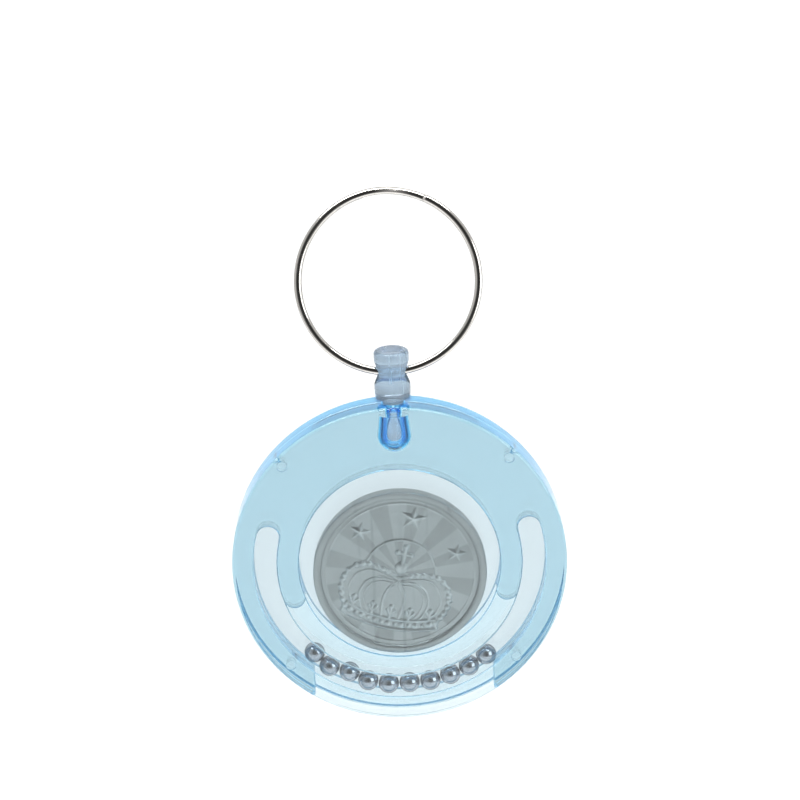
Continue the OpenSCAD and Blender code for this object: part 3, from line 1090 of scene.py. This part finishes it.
# Lamps as (name, place, width, depth, watts), and the backdrop's measures in metres
LAMPS = (("key", (-0.02, -0.22, 0.6), 0.8, 0.1, 3.5),
         ("fill", (0.5, -0.4, 0.2), 0.4, 0.4, 1.5))
FLOOR_Z = -0.16
FLOOR_FRONT = -0.9
WALL_Y = 0.45
WALL_TOP = 0.9
SWEEP = 0.2
HALF_WIDTH = 1.2


def make_camera():
    """A camera a little above the disc, leaning as in the photograph."""
    upright = Matrix(((1, 0, 0), (0, 0, -1), (0, 1, 0)))
    turned = (Matrix.Rotation(CAMERA_ROLL, 3, "Z") @ Matrix.Rotation(CAMERA_PITCH, 3, "X")
              @ upright @ Matrix.Rotation(CAMERA_YAW, 3, "Y"))
    back = turned.transposed()
    place = (back @ Matrix.Diagonal((1, -1, -1))).to_4x4()
    place.translation = DISC_MIDDLE - back @ CAMERA_OFFSET
    data = bpy.data.cameras.new("photo camera")
    data.lens = CAMERA_LENS
    data.sensor_width = SENSOR_WIDTH
    data.clip_start = 0.01
    data.clip_end = 10
    camera = bpy.data.objects.new("photo camera", data)
    camera.matrix_world = place
    bpy.context.scene.collection.objects.link(camera)
    bpy.context.scene.camera = camera


def area_lamp(name, place, width, depth, watts):
    """A soft lamp that is aimed at the disc."""
    data = bpy.data.lights.new(name, "AREA")
    data.shape = "RECTANGLE"
    data.size = width
    data.size_y = depth
    data.energy = watts
    lamp = bpy.data.objects.new(name, data)
    lamp.location = place
    lamp.rotation_mode = "QUATERNION"
    lamp.rotation_quaternion = (DISC_MIDDLE - Vector(place)).to_track_quat("-Z", "Y")
    bpy.context.scene.collection.objects.link(lamp)


def studio_world():
    """A plain pale room with one dark side, above and behind the camera, as bright metal shows it."""
    world = bpy.data.worlds.new("studio")
    bpy.context.scene.world = world
    world.use_nodes = True
    tree = world.node_tree
    tree.nodes.clear()
    place = tree.nodes.new("ShaderNodeTexCoord")
    aside = tree.nodes.new("ShaderNodeVectorMath")
    aside.operation = "DOT_PRODUCT"
    feed(tree, (place, "Generated"), aside, 0)
    feed(tree, DARK_SIDE, aside, 1)
    bright = span(tree, (aside, "Value"), *ROOM_FADE, ROOM_BRIGHT, ROOM_DARK)
    room = add_node(tree, "ShaderNodeBackground", Color=shade(WHITE, ROOM_TONE), Strength=bright)
    white = add_node(tree, "ShaderNodeBackground", Color=shade(WHITE))
    path = tree.nodes.new("ShaderNodeLightPath")
    shown = add_node(tree, "ShaderNodeMixShader", Fac=(path, "Is Camera Ray"))
    feed(tree, (room, "Background"), shown, 1)
    feed(tree, (white, "Background"), shown, 2)
    add_node(tree, "ShaderNodeOutputWorld", Surface=(shown, "Shader"))


def stage_white():
    """White card that shades softly, and is white to the camera, through the plastic and in the metal."""
    material, tree, shader = new_material("white card")
    shader.inputs["Base Color"].default_value = shade(WHITE, CARD_TONE)
    shader.inputs["Roughness"].default_value = 1
    shader.inputs["Specular IOR Level"].default_value = 0
    path = tree.nodes.new("ShaderNodeLightPath")
    seen = maths(tree, "MAXIMUM", (path, "Is Camera Ray"), (path, "Is Transmission Ray"))
    shown = maths(tree, "MAXIMUM", seen, (path, "Is Glossy Ray"))
    surface = tree.nodes.new("ShaderNodeNewGeometry")
    place = add_node(tree, "ShaderNodeSeparateXYZ", Vector=(surface, "Position"))
    glow = span(tree, (place, "Y"), GLOW_FROM, GLOW_TO, REAR_GLOW, FRONT_GLOW)
    shader.inputs["Emission Color"].default_value = shade(WHITE)
    feed(tree, maths(tree, "MULTIPLY", glow, shown), shader, "Emission Strength")
    return material


def make_backdrop():
    """Floor and back wall in one sheet with a round sweep between them."""
    outline = [(FLOOR_FRONT, FLOOR_Z)]
    for angle in quarter(12):
        outline.append((WALL_Y - SWEEP * (1 - math.sin(angle)), FLOOR_Z + SWEEP * (1 - math.cos(angle))))
    outline.append((WALL_Y, WALL_TOP))
    points = [(x, y, z) for y, z in outline for x in (-HALF_WIDTH, HALF_WIDTH)]
    faces = [(2 * i, 2 * i + 1, 2 * i + 3, 2 * i + 2) for i in range(len(outline) - 1)]
    sheet = new_piece("backdrop", points, faces)
    smooth(sheet)
    dress(sheet, stage_white())


# Operators

class BuildStep:
    """Runs one step with the sizes and colours of the sidebar."""

    def execute(self, context):
        self.build(context.scene.coin_puzzle_sizes, context.scene.coin_puzzle_colours)
        return {"FINISHED"}


class COINPUZZLE_OT_stage(BuildStep, bpy.types.Operator):
    """Sets up the camera, the lamps and the white backdrop"""

    bl_idname = "coinpuzzle.stage"
    bl_label = "Stage"

    def build(self, sizes, colours):
        make_camera()
        studio_world()
        make_backdrop()
        for lamp in LAMPS:
            area_lamp(*lamp)
        bpy.context.scene.view_settings.view_transform = "Standard"


class COINPUZZLE_OT_shells(BuildStep, bpy.types.Operator):
    """Dresses the two clear halves of the disc"""

    bl_idname = "coinpuzzle.shells"
    bl_label = "Clear shells"

    def build(self, sizes, colours):
        plastic = clear_plastic(colours.shell_tint)
        for node, front in (("front_shell", True), ("rear_shell", False)):
            half = clear_half("clear_" + node, sizes, colours, front)
            dress(half, plastic)
            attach(half, "case")
            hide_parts(node)


class COINPUZZLE_OT_plug(BuildStep, bpy.types.Operator):
    """Dresses the swivel plug"""

    bl_idname = "coinpuzzle.plug"
    bl_label = "Swivel plug"

    def build(self, sizes, colours):
        plug = swivel_plug()
        dress(plug, milky_plastic(colours.plug))
        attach(plug, "plug")
        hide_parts("connector")


class COINPUZZLE_OT_ring(BuildStep, bpy.types.Operator):
    """Winds the split ring"""

    bl_idname = "coinpuzzle.ring"
    bl_label = "Split ring"

    def build(self, sizes, colours):
        ring = split_ring(sizes)
        plate = bright_metal("nickel plate", colours.nickel, polish=0.07, scratch_scale=1100, mark_scale=90)
        dress(ring, plate)
        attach(ring, "ring")
        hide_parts("key_ring")


class COINPUZZLE_OT_coin(BuildStep, bpy.types.Operator):
    """Strikes the coin"""

    bl_idname = "coinpuzzle.coin"
    bl_label = "Coin"

    def build(self, sizes, colours):
        coin = struck_coin(sizes)
        dress(coin, coin_metal(colours.coin))
        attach(coin, "coin")
        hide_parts("coin")


class COINPUZZLE_OT_balls(BuildStep, bpy.types.Operator):
    """Polishes the ten balls"""

    bl_idname = "coinpuzzle.balls"
    bl_label = "Steel balls"

    def build(self, sizes, colours):
        steel = bright_metal("polished steel", colours.steel, polish=0.05, scratch_scale=1600, mark_scale=300)
        for name in BALLS:
            ball = polished_ball("polished_" + name, name)
            dress(ball, steel)
            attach(ball, name)
            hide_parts(name)


class COINPUZZLE_PT_panel(bpy.types.Panel):
    """Lists the steps that build the puzzle"""

    bl_idname = "COINPUZZLE_PT_panel"
    bl_label = "Trick Coin Puzzle"
    bl_space_type = "VIEW_3D"
    bl_region_type = "UI"
    bl_category = "Coin Puzzle"

    def draw(self, context):
        for group in (context.scene.coin_puzzle_sizes, context.scene.coin_puzzle_colours):
            for name in group.__annotations__:
                self.layout.prop(group, name)
        for step in STEPS:
            self.layout.operator(step.bl_idname)


STEPS = (
    COINPUZZLE_OT_stage,
    COINPUZZLE_OT_shells,
    COINPUZZLE_OT_plug,
    COINPUZZLE_OT_ring,
    COINPUZZLE_OT_coin,
    COINPUZZLE_OT_balls,
)
CLASSES = (CoinPuzzleSizes, CoinPuzzleColours, *STEPS, COINPUZZLE_PT_panel)


def register():
    for each in CLASSES:
        bpy.utils.register_class(each)
    bpy.types.Scene.coin_puzzle_sizes = bpy.props.PointerProperty(type=CoinPuzzleSizes)
    bpy.types.Scene.coin_puzzle_colours = bpy.props.PointerProperty(type=CoinPuzzleColours)


def unregister():
    del bpy.types.Scene.coin_puzzle_colours
    del bpy.types.Scene.coin_puzzle_sizes
    for each in reversed(CLASSES):
        bpy.utils.unregister_class(each)


def main():
    register()
    bpy.ops.coinpuzzle.stage()
    bpy.ops.coinpuzzle.shells()
    bpy.ops.coinpuzzle.plug()
    bpy.ops.coinpuzzle.ring()
    bpy.ops.coinpuzzle.coin()
    bpy.ops.coinpuzzle.balls()


if __name__ == "__main__":
    main()
